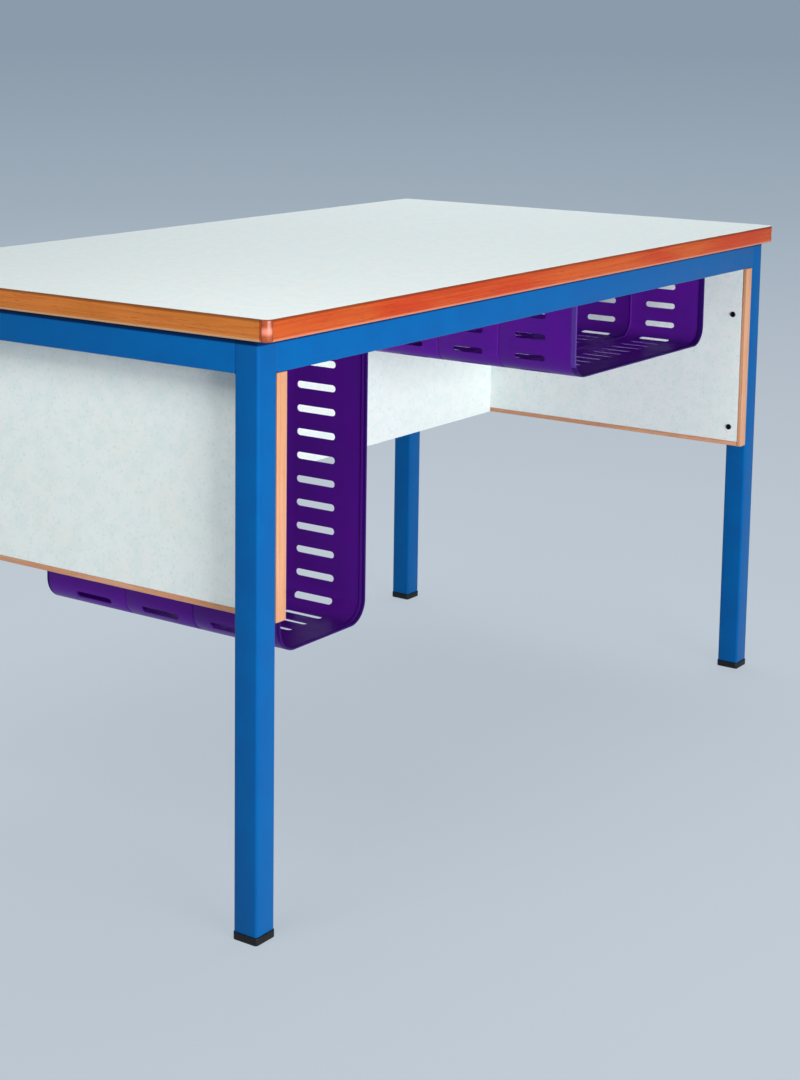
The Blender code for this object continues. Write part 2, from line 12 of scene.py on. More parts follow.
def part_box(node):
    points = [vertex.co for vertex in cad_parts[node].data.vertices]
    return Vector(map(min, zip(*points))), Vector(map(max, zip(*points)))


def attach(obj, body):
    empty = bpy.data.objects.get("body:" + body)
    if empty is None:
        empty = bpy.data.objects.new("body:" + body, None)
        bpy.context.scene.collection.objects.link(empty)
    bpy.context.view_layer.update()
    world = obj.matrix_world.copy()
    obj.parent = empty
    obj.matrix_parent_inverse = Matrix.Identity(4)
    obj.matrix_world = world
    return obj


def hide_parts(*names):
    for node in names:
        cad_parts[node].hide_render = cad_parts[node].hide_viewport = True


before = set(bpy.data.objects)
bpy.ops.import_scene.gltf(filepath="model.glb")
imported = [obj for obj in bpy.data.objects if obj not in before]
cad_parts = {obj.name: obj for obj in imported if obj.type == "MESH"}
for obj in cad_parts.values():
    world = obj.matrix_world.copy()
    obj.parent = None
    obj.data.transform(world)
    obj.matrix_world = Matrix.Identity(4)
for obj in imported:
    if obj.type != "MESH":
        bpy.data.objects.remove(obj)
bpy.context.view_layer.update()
scene = bpy.context.scene
print("frame loaded,", len(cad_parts), "nodes")


# Shader nodes

def tone(red, green, blue):
    # a colour as it reads on screen, 0 to 255, turned to the linear values that shaders take
    shares = (red / 255, green / 255, blue / 255)
    linear = [share / 12.92 if share < 0.04 else ((share + 0.055) / 1.055) ** 2.4 for share in shares]
    return (*linear, 1.0)


class Socket:
    # one output of a node; arithmetic on it adds Math nodes

    def __init__(self, web, output):
        self.web = web
        self.output = output

    def __add__(self, value):
        return self.web.maths("ADD", self, value)

    def __sub__(self, value):
        return self.web.maths("SUBTRACT", self, value)

    def __mul__(self, value):
        return self.web.maths("MULTIPLY", self, value)

    def __truediv__(self, value):
        return self.web.maths("DIVIDE", self, value)


class Web:
    # a node tree that is built up node by node

    def __init__(self, tree):
        self.tree = tree

    def add(self, kind, settings=None, sockets=None, output=None):
        made = self.tree.nodes.new(kind)
        for name, value in (settings or {}).items():
            if name == "stops":
                self.setStops(made.color_ramp.elements, value)
            else:
                setattr(made, name, value)
        for name, value in (sockets or {}).items():
            self.feed(made, name, value)
        shown = [plug for plug in made.outputs if plug.enabled]
        if not shown:
            return None
        return Socket(self, made.outputs[output] if output else shown[0])

    def setStops(self, elements, stops):
        while len(elements) < len(stops):
            elements.new(1.0)
        for element, (place, colour) in zip(elements, stops):
            element.position = place
            element.color = colour

    def feed(self, node, name, value):
        if isinstance(name, int):
            plug = node.inputs[name]
        else:
            plug = next(found for found in node.inputs if found.name == name and found.enabled)
        if isinstance(value, Socket):
            self.tree.links.new(value.output, plug)
        else:
            plug.default_value = value

    def maths(self, operation, *values):
        return self.add("ShaderNodeMath", {"operation": operation}, dict(enumerate(values)))

    def stretch(self, place, factors):
        return self.add("ShaderNodeVectorMath", {"operation": "MULTIPLY"}, {0: place, 1: factors})

    def shift(self, place, step):
        return self.add("ShaderNodeVectorMath", {"operation": "ADD"}, {0: place, 1: step})

    def length(self, place):
        return self.add("ShaderNodeVectorMath", {"operation": "LENGTH"}, {0: place}, "Value")

    def noise(self, place, size, detail=2.0, rough=0.5):
        # blotches about size metres across, from 0 to 1 around a half
        values = {"Vector": place, "Scale": 1 / size, "Detail": detail, "Roughness": rough}
        return self.add("ShaderNodeTexNoise", {}, values, "Fac")

    def fade(self, value, low, high, start=0.0, end=1.0):
        # goes smoothly from start to end while the value goes from low to high
        values = {"Value": value, "From Min": low, "From Max": high, "To Min": start, "To Max": end}
        return self.add("ShaderNodeMapRange", {"interpolation_type": "SMOOTHSTEP"}, values)

    def patches(self, place, size, ends, detail=2.0, rough=0.5):
        # noise with its low and high values cut off, so that patches stand out
        return self.fade(self.noise(place, size, detail, rough), *ends)

    def blend(self, factor, first, second):
        return self.add("ShaderNodeMix", {"data_type": "RGBA"}, {"Factor": factor, "A": first, "B": second})


class Finish(Web):
    # a material around one Principled shader

    def __init__(self, name, values=None):
        self.material = bpy.data.materials.new(name)
        self.material.use_nodes = True
        super().__init__(self.material.node_tree)
        self.shader = self.tree.nodes["Principled BSDF"]
        for label, value in (values or {}).items():
            self.shader.inputs[label].default_value = value
        self.place = self.add("ShaderNodeTexCoord", output="Object")

    def along(self, letter):
        # the distance from the origin along one axis
        return self.add("ShaderNodeSeparateXYZ", {}, {"Vector": self.place}, letter)

    def complete(self, colour, roughness, height, relief):
        depth, strength = relief
        bump = self.add("ShaderNodeBump", {}, {"Height": height, "Distance": depth, "Strength": strength})
        for label, value in (("Base Color", colour), ("Roughness", roughness), ("Normal", bump)):
            self.feed(self.shader, label, value)
        return self


# Finishes; a relief is the depth of a finish's bumps and their strength

speckle = {
    "cloudRange": (0.35, 0.65), "mottleRange": (0.42, 0.62), "fleckRange": (0.56, 0.66),
    "cloudShare": 0.35, "mottleShare": 0.65, "fleckShare": 0.4,
    "gloss": 0.3, "roughnessSpread": 0.08, "relief": (0.00004, 0.6),
}

laminateLook = {
    "pale": tone(226, 233, 231), "cream": tone(229, 232, 224),
    "mint": tone(214, 229, 229), "fleck": tone(192, 205, 202),
    "cloudSize": 0.050, "mottleSize": 0.013, "fleckSize": 0.0030, "grainSize": 0.0008, "roughness": 0.44,
}

boardLook = {
    "pale": tone(240, 246, 243), "cream": tone(241, 242, 232),
    "mint": tone(229, 241, 237), "fleck": tone(206, 219, 212),
    "cloudSize": 0.080, "mottleSize": 0.020, "fleckSize": 0.0050, "grainSize": 0.0010, "roughness": 0.45,
}


def speckledFinish(name, look):
    # a printed pale sheet: soft clouds, a mottle of light and mint, and fine grey flecks
    finish = Finish(name, {"Specular IOR Level": speckle["gloss"]})
    place = finish.place
    cloud = finish.patches(place, look["cloudSize"], speckle["cloudRange"])
    mottle = finish.patches(place, look["mottleSize"], speckle["mottleRange"], detail=4.0, rough=0.6)
    fleck = finish.patches(place, look["fleckSize"], speckle["fleckRange"], detail=3.0, rough=0.7)
    colour = finish.blend(cloud * speckle["cloudShare"], look["pale"], look["cream"])
    colour = finish.blend(mottle * speckle["mottleShare"], colour, look["mint"])
    colour = finish.blend(fleck * speckle["fleckShare"], colour, look["fleck"])
    roughness = (mottle - 0.5) * speckle["roughnessSpread"] + look["roughness"]
    return finish.complete(colour, roughness, finish.noise(place, look["grainSize"]), speckle["relief"])


rimLook = {
    "dark": tone(110, 66, 40), "light": tone(170, 112, 74), "layerSize": 0.0004, "alongShare": 0.05,
    "roughness": 0.5, "relief": (0.00003, 0.5),
}


def rimFinish():
    # the brown paper layers that show on the edge of the laminate
    look = rimLook
    finish = Finish("laminateRim")
    drawn = finish.stretch(finish.place, (look["alongShare"], look["alongShare"], 1.0))
    layers = finish.noise(drawn, look["layerSize"])
    colour = finish.blend(layers, look["dark"], look["light"])
    return finish.complete(colour, look["roughness"], layers, look["relief"])


timberLook = {
    "pith": (0.034, -0.041, 0.052), "seedStep": (0.37, 0.71, 0.53), "alongShare": 0.05,
    "ringPitch": 0.0075, "ringWander": 0.045, "wanderSize": 0.022,
    "lateStart": (0.35, 0.85), "lateEnd": (0.9, 1.0), "lateShare": 0.38, "lateDepth": 0.2,
    "fibreSize": 0.0007, "fibreRange": (0.35, 0.7), "fibreShare": 0.45, "fibreRoughness": 0.12,
    "poreSize": 0.0009, "poreRange": (0.62, 0.70), "poreShare": 0.5, "poreDepth": 0.5,
    "toneSize": 0.060, "toneRange": (0.35, 0.65), "toneAlongShare": 0.4,
    # distances from the lower and the upper edge between which the arris fades; the lower arris gets a painted
    # highlight
    "lowerArris": (0.0015, 0.0045), "lowerHighlightShare": 0.75,
    "upperArris": (0.0035, 0.0010), "upperShare": 0.6,
    "gloss": 0.25, "roughness": 0.36, "relief": (0.00006, 0.5),
}


def woodFinish(name, axis, tones, seed, arris=None):
    # varnished timber cut from a log that lies along the axis: rings, fibres, pores and slow changes of tone;
    # with edge heights, a painted highlight on the lower arris and a darker upper edge
    look = timberLook

    def drawnOut(share):
        # factors that draw a pattern out along the axis
        return [share if letter == axis else 1.0 for letter in "xyz"]

    finish = Finish(name, {"Specular IOR Level": look["gloss"], "Specular Tint": tones["sheen"]})
    place = finish.shift(finish.place, [step * seed for step in look["seedStep"]])
    drawn = finish.stretch(place, drawnOut(look["alongShare"]))
    finer = finish.stretch(place, drawnOut(look["alongShare"] ** 2))
    wider = finish.stretch(place, drawnOut(look["toneAlongShare"]))
    fromPith = finish.stretch(finish.shift(finish.place, look["pith"]), drawnOut(0.0))
    wander = finish.noise(drawn, look["wanderSize"], detail=3.0)
    ring = finish.maths("FRACT", (finish.length(fromPith) + wander * look["ringWander"]) / look["ringPitch"])
    late = finish.fade(ring, *look["lateStart"]) - finish.fade(ring, *look["lateEnd"])
    fibre = finish.noise(finer, look["fibreSize"], detail=3.0, rough=0.6)
    pore = finish.patches(drawn, look["poreSize"], look["poreRange"])
    drift = finish.patches(wider, look["toneSize"], look["toneRange"], detail=1.0)
    colour = finish.blend(drift, tones["body"], tones["warm"])
    colour = finish.blend(late * look["lateShare"], colour, tones["ring"])
    colour = finish.blend(finish.fade(fibre, *look["fibreRange"]) * look["fibreShare"], colour, tones["pale"])
    colour = finish.blend(pore * look["poreShare"], colour, tones["pore"])
    if arris:
        low, high = arris
        level = finish.along("Z")
        # painted highlight along the lower arris, and a darker line along the upper edge
        lower = finish.fade(level, *[low + away for away in look["lowerArris"]], 1.0, 0.0)
        upper = finish.fade(level, *[high - away for away in look["upperArris"]])
        colour = finish.blend(lower * look["lowerHighlightShare"], colour, tones["arrisHighlight"])
        colour = finish.blend(upper * look["upperShare"], colour, tones["pore"])
    height = fibre - pore * look["poreDepth"] - late * look["lateDepth"]
    roughness = fibre * look["fibreRoughness"] + look["roughness"]
    return finish.complete(colour, roughness, height, look["relief"])


edgeHeights = [corner.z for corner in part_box("lipping_front")]

cornerWood = {
    "grain": tone(176, 82, 42), "dark": tone(136, 52, 22),
    # the pink tone below is a painted highlight half way up the round corner
    "highlightBand": tone(228, 138, 112), "seam": tone(112, 46, 18),
    "poreSize": 0.0008, "poreRange": (0.4, 0.65),
    # how far the painted highlight reaches from the middle height, and its share
    "highlightBandReach": (0.0005, 0.0070), "highlightBandShare": 0.9,
    "radius": 0.010, "seamReach": (0.00072, 0.0018), "seamShare": 0.85,
    "gloss": 0.4, "roughness": 0.3, "relief": (0.00005, 0.5),
}


def cornerFinish():
    # a lipping's round corner: dark end grain, a painted highlight band half way up, and a dark seam at both
    # sides
    look = cornerWood
    finish = Finish("cornerEndGrain", {"Specular IOR Level": look["gloss"]})
    pores = finish.noise(finish.place, look["poreSize"], detail=3.0, rough=0.6)
    colour = finish.blend(finish.fade(pores, *look["poreRange"]), look["grain"], look["dark"])
    away = finish.maths("ABSOLUTE", finish.along("Z") - sum(edgeHeights) / 2)
    # a painted highlight band half way up the round corner
    highlightBand = finish.fade(away, *look["highlightBandReach"], look["highlightBandShare"], 0.0)
    colour = finish.blend(highlightBand, colour, look["highlightBand"])
    for letter, reach in (("X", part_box("lipping_front")[1].x), ("Y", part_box("lipping_back")[1].y)):
        ends = [reach - look["radius"] + step for step in look["seamReach"]]
        seam = finish.fade(finish.maths("ABSOLUTE", finish.along(letter)), *ends, look["seamShare"], 0.0)
        colour = finish.blend(seam, colour, look["seam"])
    return finish.complete(colour, look["roughness"], pores, look["relief"])


powderLook = {
    "peelSize": 0.0016, "cloudSize": 0.045, "cloudRange": (0.3, 0.7),
    "speckSize": 0.0009, "speckRange": (0.60, 0.70), "speckShare": 0.35,
    # the first share below sets how dark the painted shade under an overhang gets
    "paintedShadeShare": 0.85, "roughnessSpread": 0.08, "relief": (0.00012, 0.35),
}


def powderFinish(name, tones, roughness, gloss=0.2, paintedShadeHeights=None):
    # sprayed powder coat: a slight orange peel, a little unevenness, and a painted shade under an overhang if
    # asked
    look = powderLook
    finish = Finish(name, {"Specular IOR Level": gloss, "Specular Tint": tones["sheen"]})
    cloud = finish.patches(finish.place, look["cloudSize"], look["cloudRange"], detail=3.0)
    speck = finish.patches(finish.place, look["speckSize"], look["speckRange"])
    colour = finish.blend(cloud, tones["body"], tones["warm"])
    colour = finish.blend(speck * look["speckShare"], colour, tones["pale"])
    # painted shade towards the top, under the worktop's overhanging edge
    if paintedShadeHeights:
        paintedShade = finish.fade(finish.along("Z"), *paintedShadeHeights)
        colour = finish.blend(paintedShade * look["paintedShadeShare"], colour, tones["paintedShade"])
    uneven = (cloud - 0.5) * look["roughnessSpread"] + roughness
    return finish.complete(colour, uneven, finish.noise(finish.place, look["peelSize"]), look["relief"])


zincLook = {
    "bloomSize": 0.006, "bloomRange": (0.35, 0.65), "markSize": 0.0004, "markStretch": (1.0, 1.0, 0.04),
    "roughnessSpread": 0.2, "relief": (0.00003, 0.4),
}


def zincFinish(name, light, dark, roughness):
    # plated steel with faint drawing marks
    look = zincLook
    finish = Finish(name, {"Metallic": 1.0})
    bloom = finish.noise(finish.place, look["bloomSize"], detail=4.0, rough=0.6)
    colour = finish.blend(finish.fade(bloom, *look["bloomRange"]), light, dark)
    uneven = (bloom - 0.5) * look["roughnessSpread"] + roughness
    marks = finish.noise(finish.stretch(finish.place, look["markStretch"]), look["markSize"])
    return finish.complete(colour, uneven, marks, look["relief"])


plasticLook = {
    "black": tone(8, 8, 11), "worn": tone(20, 20, 24), "scuffSize": 0.004, "scuffRange": (0.4, 0.7),
    "gloss": 0.3, "roughness": 0.42, "scuffRoughness": 0.2, "grainSize": 0.0005, "relief": (0.00008, 0.5),
}


def plasticFinish():
    # moulded black plastic with a fine spark-eroded texture
    look = plasticLook
    finish = Finish("capPlastic", {"Specular IOR Level": look["gloss"]})
    scuff = finish.noise(finish.place, look["scuffSize"], detail=4.0, rough=0.7)
    colour = finish.blend(finish.fade(scuff, *look["scuffRange"]), look["black"], look["worn"])
    roughness = scuff * look["scuffRoughness"] + look["roughness"]
    return finish.complete(colour, roughness, finish.noise(finish.place, look["grainSize"]), look["relief"])


frontWood = {
    "body": tone(184, 54, 22), "warm": tone(190, 84, 34), "ring": tone(158, 36, 14),
    # the last tone below is a painted highlight for the lower arris
    "pale": tone(200, 96, 50), "pore": tone(106, 32, 12), "arrisHighlight": tone(212, 140, 112),
    "sheen": tone(255, 160, 110),
}
sideWood = {
    "body": tone(206, 118, 50), "warm": tone(190, 106, 38), "ring": tone(168, 76, 26),
    # the last tone below is a painted highlight for the lower arris
    "pale": tone(220, 142, 78), "pore": tone(104, 56, 20), "arrisHighlight": tone(224, 184, 138),
    "sheen": tone(255, 210, 160),
}
stripWood = {
    "body": tone(214, 158, 122), "warm": tone(208, 144, 104), "ring": tone(184, 118, 80),
    "pale": tone(224, 178, 146), "pore": tone(140, 88, 54), "sheen": tone(255, 220, 190),
}
bluePaint = {
    "body": tone(13, 88, 154), "warm": tone(10, 93, 159), "pale": tone(30, 104, 173),
    # the darkest tone below is painted shade under the worktop's edge
    "sheen": tone(50, 160, 255), "paintedShade": tone(6, 12, 52),
}
purpleSheen = tone(190, 150, 255)
purplePaint = {
    "body": tone(88, 28, 146), "warm": tone(94, 24, 150), "pale": tone(108, 50, 166), "sheen": purpleSheen,
}
# painted shade on the hem along the lockers' front and back edges
hemShadePaint = {
    "body": tone(48, 14, 96), "warm": tone(52, 14, 102), "pale": tone(62, 24, 116), "sheen": purpleSheen,
}
# painted highlight on the shallow locker's left hem
highlitPaint = {
    "body": tone(90, 60, 148), "warm": tone(86, 54, 146), "pale": tone(108, 76, 166), "sheen": purpleSheen,
}

# painted shade: the tubes darken between these distances below their top, under the worktop's edge
paintedShadeBelowTop = (0.0062, 0.0042)
paintedShadeHeights = [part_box("rail_left")[1].z - below for below in paintedShadeBelowTop]

finishes = {
    "laminate": speckledFinish("speckledLaminate", laminateLook),
    "rim": rimFinish(),
    "board": speckledFinish("speckledBoard", boardLook),
    "cornerLipping": cornerFinish(),
    "frontLipping": woodFinish("orangeLipping", "x", frontWood, 1, edgeHeights),
    "sideLipping": woodFinish("amberLipping", "y", sideWood, 2, edgeHeights),
    "uprightStrip": woodFinish("paleUprightStrip", "z", stripWood, 3),
    "levelStrip": woodFinish("paleLevelStrip", "y", stripWood, 4),
    "frame": powderFinish("bluePowderCoat", bluePaint, 0.38, 0.1, paintedShadeHeights),
    "locker": powderFinish("purplePowderCoat", purplePaint, 0.36),
    # the next finish is painted shade on the lockers' hems
    "lockerHemShade": powderFinish("purpleHemPaintedShade", hemShadePaint, 0.45),
    # the next finish is a painted highlight on a locker's left hem
    "highlitHem": powderFinish("highlitHemCoat", highlitPaint, 0.36),
    "cap": plasticFinish(),
    "zinc": zincFinish("zincPlate", tone(206, 208, 210), tone(168, 171, 176), 0.36),
    "blackScrew": zincFinish("blackenedSteel", tone(34, 34, 38), tone(18, 18, 20), 0.42),
}
print("finishes made:", len(finishes))


# Meshes

meshRules = {
    "mergeDistance": 2e-6, "smoothBelow": math.radians(35), "endSteps": 2,
    # lengths that count as nothing
    "speck": 1e-6, "hair": 1e-5,
}


def clamp(value):
    return min(max(value, 0.0), 1.0)


def quarterTurn(steps):
    return [math.pi / 2 * step / steps for step in range(steps + 1)]


def arcPoints(x, y, radius, start, end, steps):
    # points along an arc, angles in degrees
    turns = [math.radians(start + (end - start) * step / steps) for step in range(steps + 1)]
    return [(x + radius * math.cos(turn), y + radius * math.sin(turn)) for turn in turns]


def roundedRing(width, depth, radius, inset, steps):
    # a rectangle with round corners about the origin, drawn in by an inset
    bend = max(radius - inset, 0.0)
    x, y = width / 2 - inset - bend, depth / 2 - inset - bend
    ring = []
    for signX, signY, start in ((1, 1, 0), (-1, 1, 90), (-1, -1, 180), (1, -1, 270)):
        ring += arcPoints(signX * x, signY * y, bend, start, start + 90, steps)
    return ring


def sectionRings(width, depth, radius, profile, steps):
    # a rectangle with round corners at each step of a profile
    return [[(x, y, z) for x, y in roundedRing(width, depth, radius, inset, steps)] for inset, z in profile]


def edgeProfile(low, high, lowRound, highRound, steps=4):
    # how far a section is drawn in at each height, with a rounded edge at both ends
    turns = quarterTurn(steps)
    foot = [(lowRound * (1 - math.sin(turn)), low + lowRound * (1 - math.cos(turn))) for turn in turns]
    head = [(highRound * (1 - math.cos(turn)), high - highRound * (1 - math.sin(turn))) for turn in turns]
    return foot + head


def loft(name, rings, joined=False):
    # quads from ring to ring; both ends are closed, or the last ring joins the first
    work = bmesh.new()
    rows = [[work.verts.new(point) for point in ring] for ring in rings]
    pairs = list(zip(rows[:-1], rows[1:]))
    if joined:
        pairs.append((rows[-1], rows[0]))
    for near, far in pairs:
        for i in range(len(near)):
            j = (i + 1) % len(near)
            work.faces.new((near[i], near[j], far[j], far[i]))
    if not joined:
        work.faces.new(list(reversed(rows[0])))
        work.faces.new(rows[-1])
    return meshFrom(name, work)


def meshFrom(name, work):
    # a smooth shaded mesh with sharp edges where its faces turn far enough
    bmesh.ops.remove_doubles(work, verts=work.verts, dist=meshRules["mergeDistance"])
    bmesh.ops.recalc_face_normals(work, faces=work.faces)
    mesh = bpy.data.meshes.new(name)
    work.to_mesh(mesh)
    work.free()
    mesh.shade_smooth()
    mesh.set_sharp_from_angle(angle=meshRules["smoothBelow"])
    return mesh


def turned(point, axis):
    # a shape drawn along z, laid along another axis
    x, y, z = point
    return {"x": (z, x, y), "y": (y, z, x), "z": (x, y, z)}[axis]


def barMesh(name, node, axis, radius, endRound, steps, wall=None, reach=0.0):
    # a bar in its node's place with rounded edges, or a tube with a real bore where a wall is given
    low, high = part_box(node)
    centre = (low + high) / 2
    order = {"x": (1, 2, 0), "y": (2, 0, 1), "z": (0, 1, 2)}[axis]
    width, depth, length = (high[i] - low[i] for i in order)
    half = (length + 2 * reach) / 2
    profile = edgeProfile(-half, half, endRound, endRound, meshRules["endSteps"])
    if wall:
        profile += [(wall, half), (wall, -half)]
    rings = sectionRings(width, depth, radius, profile, steps)
    placed = [[Vector(turned(point, axis)) + centre for point in ring] for ring in rings]
    return loft(name, placed, joined=bool(wall))


def addThing(name, data):
    thing = bpy.data.objects.new(name, data)
    scene.collection.objects.link(thing)
    return thing


def tune(thing, settings):
    for name, value in settings.items():
        setattr(thing, name, value)


def coat(mesh, *finishNames):
    for finishName in finishNames:
        mesh.materials.append(finishes[finishName].material)


def addPiece(name, mesh, finishName, slot, *replaced):
    # a visible piece on the root body; finishName is for a mesh that has no coat yet
    piece = addThing(name, mesh)
    if not mesh.materials:
        coat(mesh, finishName)
    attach(piece, "root")
    if replaced:
        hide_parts(*replaced)
    return piece


def coatNode(node, finishName):
    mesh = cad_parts[node].data
    mesh.materials.clear()
    coat(mesh, finishName)


# Worktop

worktop = {
    "cornerRadius": 0.010, "cornerSteps": 14, "lowerRound": 0.0030, "upperRound": 0.0007,
    "sheetRound": 0.0003, "sheetSteps": 3,
    # how far a face may turn up and still belong to the rim or the round corner
    "rimNormal": 0.5, "cornerNormal": 0.9,
}


def addSheet():
    # the laminate, with its pale face and the brown layers on its rim
    low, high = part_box("worktop_laminate")
    profile = edgeProfile(low.z, high.z, 0.0, worktop["sheetRound"], worktop["sheetSteps"])
    size = high - low
    rings = sectionRings(size.x, size.y, worktop["cornerRadius"], profile, worktop["cornerSteps"])
    mesh = loft("laminateSheet", rings)
    coat(mesh, "laminate", "rim")
    for face in mesh.polygons:
        face.material_index = 0 if abs(face.normal.z) > worktop["rimNormal"] else 1
    addPiece("laminateSheet", mesh, "laminate", "laminate", "worktop_laminate")


def addLongLipping(side, name, node):
    # a front or back strip, which turns both corners; the corners show end grain
    low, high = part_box(node)
    radius = worktop["cornerRadius"]
    centreX = high.x - radius
    inner, outer = sorted((abs(low.y), abs(high.y)))
    centreY = outer - radius
    rings = []
    for inset, z in edgeProfile(low.z, high.z, worktop["lowerRound"], worktop["upperRound"]):
        bend = radius - inset
        ring = arcPoints(centreX, centreY, bend, 0, 90, worktop["cornerSteps"])
        ring += arcPoints(-centreX, centreY, bend, 90, 180, worktop["cornerSteps"])
        ring += [(-centreX - bend, inner), (centreX + bend, inner)]
        rings.append([(x, side * y, z) for x, y in ring])
    mesh = loft(name, rings)
    coat(mesh, "frontLipping", "cornerLipping")
    for face in mesh.polygons:
        atCorner = abs(face.center.x) > centreX and abs(face.center.y) > centreY
        upright = abs(face.normal.z) < worktop["cornerNormal"]
        face.material_index = 1 if atCorner and upright else 0
    addPiece(name, mesh, "frontLipping", "lipping", node)


def addEndLipping(side, name, node):
    # a left or right strip between the long ones
    low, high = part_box(node)
    outer, inner = (high.x, low.x) if side > 0 else (low.x, high.x)
    rings = []
    for inset, z in edgeProfile(low.z, high.z, worktop["lowerRound"], worktop["upperRound"]):
        x = outer - side * inset
        rings.append([(x, low.y, z), (x, high.y, z), (inner, high.y, z), (inner, low.y, z)])
    addPiece(name, loft(name, rings), "sideLipping", "lipping", node)


addSheet()
addLongLipping(-1, "frontLipping", "lipping_front")
addLongLipping(1, "backLipping", "lipping_back")
addEndLipping(-1, "leftLipping", "lipping_left")
addEndLipping(1, "rightLipping", "lipping_right")
coatNode("worktop_core", "board")
print("worktop done")


# Frame

tubes = {
    "legWall": 0.002, "legRadius": 0.0035, "railWall": 0.0015, "railRadius": 0.0020, "radiusSteps": 6,
    "endRound": 0.0005, "flushEndRound": 0.00005, "seam": 0.0003,
    # how far the metal in a corner's hollow lies below the long and the end rails' faces, and how far it
    # reaches past its own edges
    "longRecess": 0.00003, "endRecess": 0.0006, "overlap": 0.00005,
}


def addTube(name, node, axis, kind, endRound, reach=0.0):
    wall, radius = tubes[kind + "Wall"], tubes[kind + "Radius"]
    mesh = barMesh(name, node, axis, radius, endRound, tubes["radiusSteps"], wall, reach)
    addPiece(name, mesh, "frame", "frame", node)


def addFrame():
    for end in ("left", "right"):
        for face in ("front", "back"):
            node = "leg_%s_%s" % (face, end)
            addTube("leg" + face.title() + end.title(), node, "z", "leg", tubes["endRound"])
    for face in ("front", "back"):
        addTube("rail" + face.title(), "rail_" + face, "x", "rail", tubes["flushEndRound"], tubes["seam"])
    for end in ("left", "right"):
        addTube("rail" + end.title(), "rail_" + end, "y", "rail", tubes["endRound"], tubes["seam"])


def addJoint(name, corner, out, along, recess, low, high):
    # ground weld metal in the hollow that a leg's round corner leaves beside a rail; corner is where the
    # leg's sides would meet, out points out of the outer faces and along from the leg to the rail
    radius = tubes["legRadius"]
    out, along = Vector(out), Vector(along)
    middle = corner - (out + along) * radius
    last = math.asin(1 - recess / radius)
    turns = [last * step / tubes["radiusSteps"] for step in range(tubes["radiusSteps"] + 1)]
    outline = [middle + (along * math.cos(turn) + out * math.sin(turn)) * (radius - tubes["overlap"])
               for turn in turns]
    outline.append(corner - out * recess)
    outline.append(corner - out * radius + along * tubes["overlap"])
    rings = [[(point.x, point.y, z) for point in outline] for z in (low, high)]
    addPiece(name, loft(name, rings), "frame", "frame")


def addJoints():
    for side, end in ((-1, "Left"), (1, "Right")):
        for way, face in ((-1, "Front"), (1, "Back")):
            low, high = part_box("leg_%s_%s" % (face.lower(), end.lower()))
            outerX, innerX = (low.x, high.x) if side < 0 else (high.x, low.x)
            outerY, innerY = (low.y, high.y) if way < 0 else (high.y, low.y)
            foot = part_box("rail_" + end.lower())[0].z + tubes["railRadius"]
            head = high.z - tubes["railRadius"]
            addJoint("jointLong" + face + end, Vector((innerX, outerY)), (0, way), (-side, 0),
                     tubes["longRecess"], foot, head)
            addJoint("jointEnd" + face + end, Vector((outerX, innerY)), (side, 0), (0, -way),
                     tubes["endRecess"], foot, head)


weldBead = {
    "radius": 0.0028, "ripple": 0.0022, "ringsPerRipple": 4, "waveShare": 0.14,
    "endShare": 0.02, "endRise": 3, "endSize": 0.45,
    "steps": 6, "flatness": 0.80, "crown": 0.12, "sink": 0.0002,
}


def addWeld(name, start, end, outward, inward):
    # a rippled fillet in the corner between two faces, whose outward directions are given
    bead = weldBead
    start, end, outward, inward = Vector(start), Vector(end), Vector(outward), Vector(inward)
    ripples = (end - start).length / bead["ripple"]
    count = max(1, int(ripples)) * bead["ringsPerRipple"]
    rings = []
    for step in range(count + 1):
        share = step / count
        wave = 1 - bead["waveShare"] + bead["waveShare"] * math.cos(share * ripples * math.tau)
        along = min(max(share, bead["endShare"]), 1 - bead["endShare"])
        fullness = min(1.0, math.sin(math.pi * along) * bead["endRise"])
        size = bead["radius"] * wave * (bead["endSize"] + (1 - bead["endSize"]) * fullness)
        centre = start.lerp(end, share)
        ring = [centre - (outward + inward) * bead["sink"]]
        for angle in quarterTurn(bead["steps"]):
            bulge = size * (bead["flatness"] + bead["crown"] * math.sin(2 * angle))
            ring.append(centre + outward * bulge * math.cos(angle) + inward * bulge * math.sin(angle))
        rings.append(ring)
    addPiece(name, loft(name, rings), "frame", "frame")


def addWelds():
    # under each end rail and up its inner side, at both legs; and up the inner side of each long rail
    for side, end in ((-1, "Left"), (1, "Right")):
        low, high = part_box("rail_" + end.lower())
        inner, outer = (high.x, low.x) if side < 0 else (low.x, high.x)
        margin = tubes["railRadius"]
        for way, face in ((-1, "Front"), (1, "Back")):
            y = (low.y if way < 0 else high.y) + way * tubes["seam"]
            spots = ((inner + side * margin, y, low.z), (outer - side * margin, y, low.z))
            addWeld("weldUnder" + face + end, *spots, (0, -way, 0), (0, 0, -1))
            addWeld("weldInside" + face + end, (inner, y, low.z + margin), (inner, y, high.z - margin),
                    (0, -way, 0), (-side, 0, 0))
            near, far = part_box("rail_" + face.lower())
            x = (near.x if side < 0 else far.x) + side * tubes["seam"]
            back = far.y if way < 0 else near.y
            addWeld("weldRail" + face + end, (x, back, near.z + margin), (x, back, far.z - margin),
                    (-side, 0, 0), (0, -way, 0))


addFrame()
addJoints()
addWelds()
print("frame done")


# Foot caps

footCap = {
    "radius": 0.0045, "steps": 6, "lowerRound": 0.0016, "upperRound": 0.0006,
    "rimHeight": 0.010, "plugInset": 0.0033,
}


